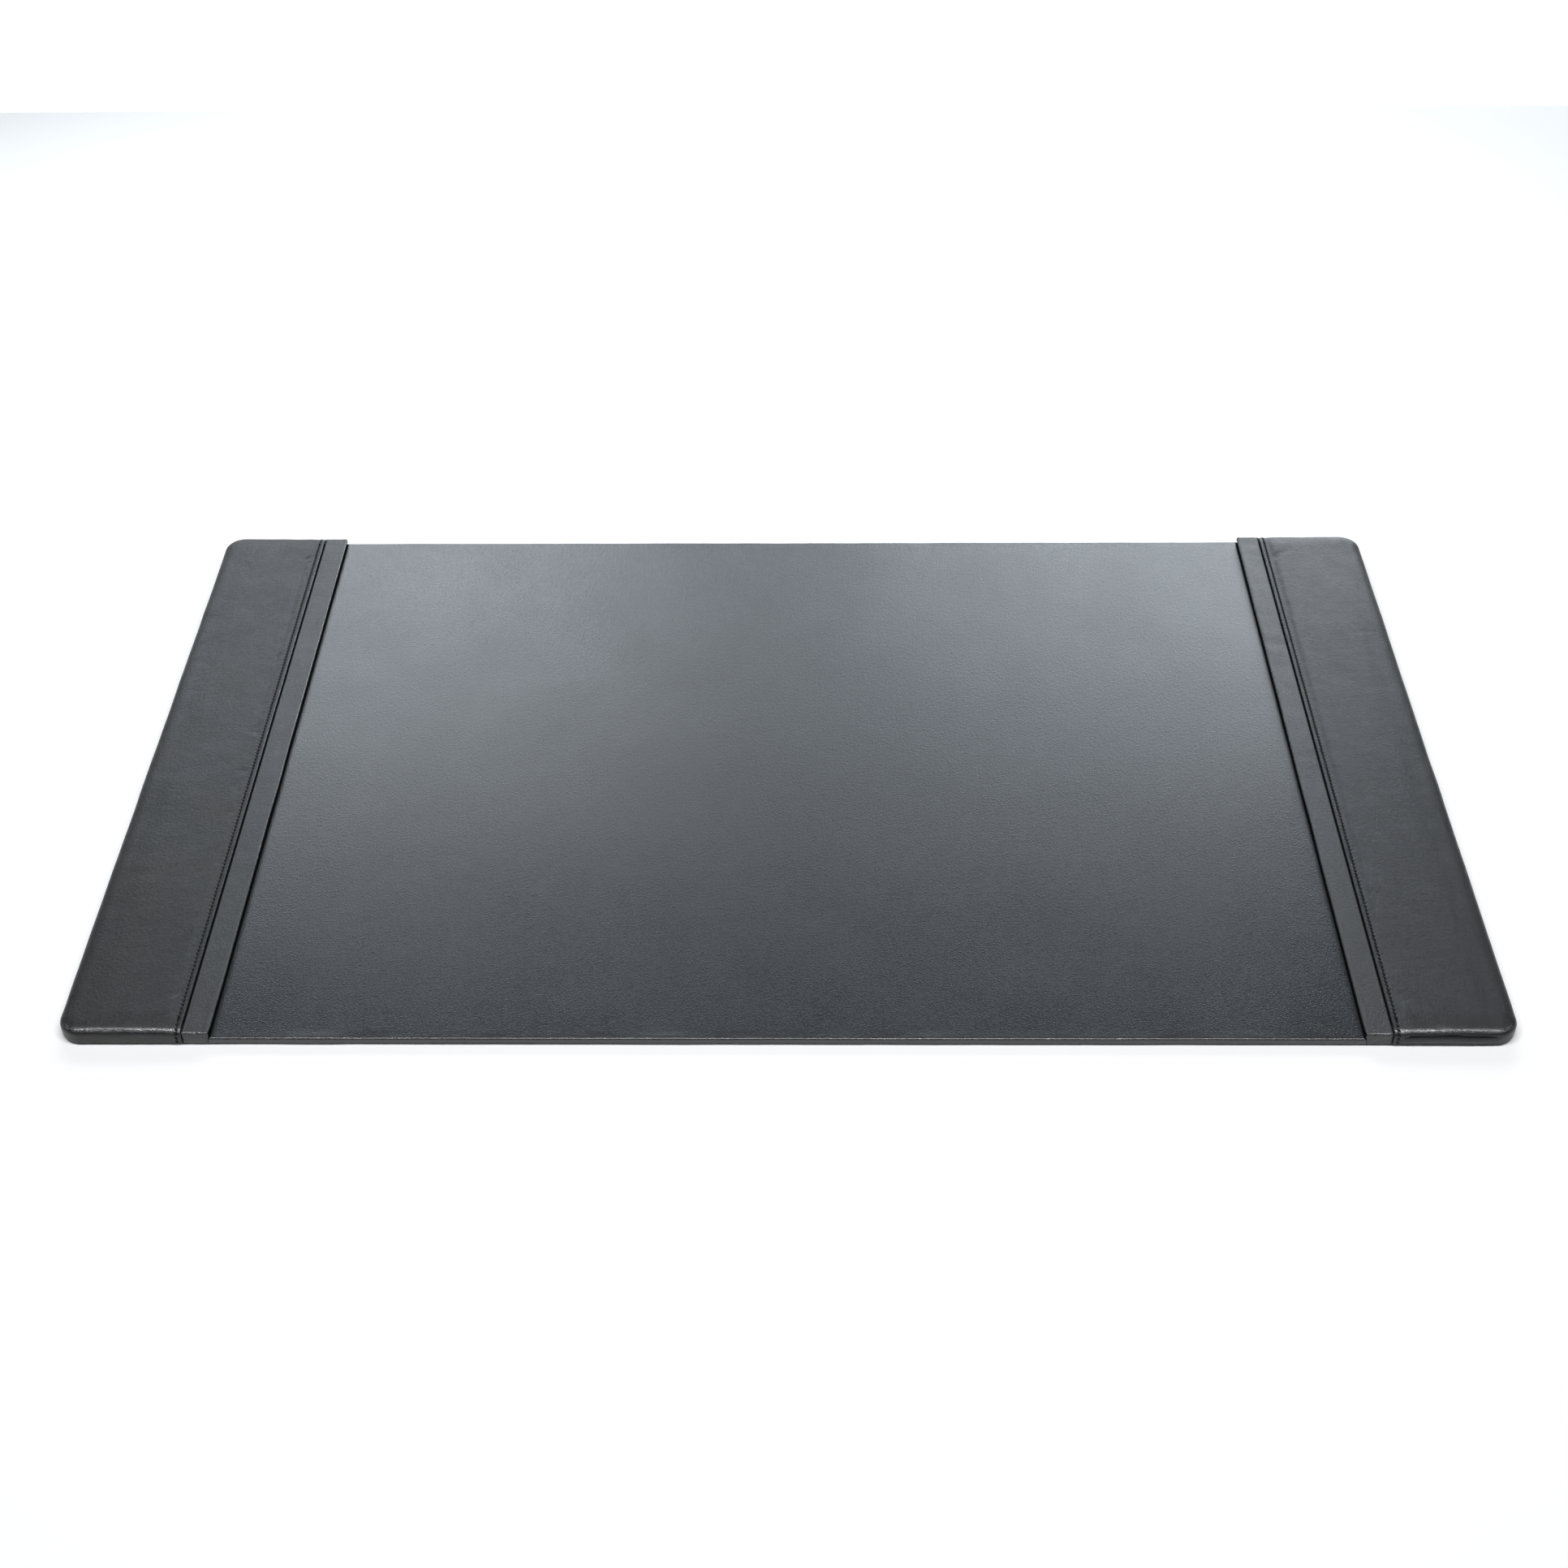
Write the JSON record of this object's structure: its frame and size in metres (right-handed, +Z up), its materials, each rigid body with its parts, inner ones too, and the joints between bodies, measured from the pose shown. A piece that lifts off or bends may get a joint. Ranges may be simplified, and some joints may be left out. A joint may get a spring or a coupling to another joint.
{
  "type": "desk mat",
  "caption": "Desk mat: a stiff, covered writing board on felt, with a padded leather rail and a stitched, flat paper-holding strip along each short side.",
  "frame": {"origin": "centre of the underside, on the surface that the mat lies on", "axes": "+X along the long side towards the right-hand rail, +Y away from the user, +Z up out of the writing surface"},
  "size_m": [0.8636, 0.5084, 0.0119],
  "materials": {
    "felt": "matte needled felt",
    "card": "plain matte card",
    "board": "plain fibreboard",
    "writing_sheet": "fine pebble grain, satin",
    "foam": "open-cell foam",
    "leather": "smooth fine-grained leather, semi-gloss",
    "thread": "waxed black sewing thread"
  },
  "bodies": {
    "root": {"felt_backing": "felt", "underside_infill_card": "card", "base_board": "board", "writing_surface": "writing_sheet", "right_rail_riser": "board", "right_rail_foam": "foam", "right_strip_card": "card", "right_strip_leather": "leather", "right_strip_wrap_front": "leather", "right_strip_wrap_rear": "leather", "right_rail_leather": "leather", "right_seam_thread": "thread", "right_bobbin_thread": "thread", "left_rail_riser": "board", "left_rail_foam": "foam", "left_strip_card": "card", "left_strip_leather": "leather", "left_strip_wrap_front": "leather", "left_strip_wrap_rear": "leather", "left_rail_leather": "leather", "left_seam_thread": "thread", "left_bobbin_thread": "thread"}
  },
  "joints": []
}
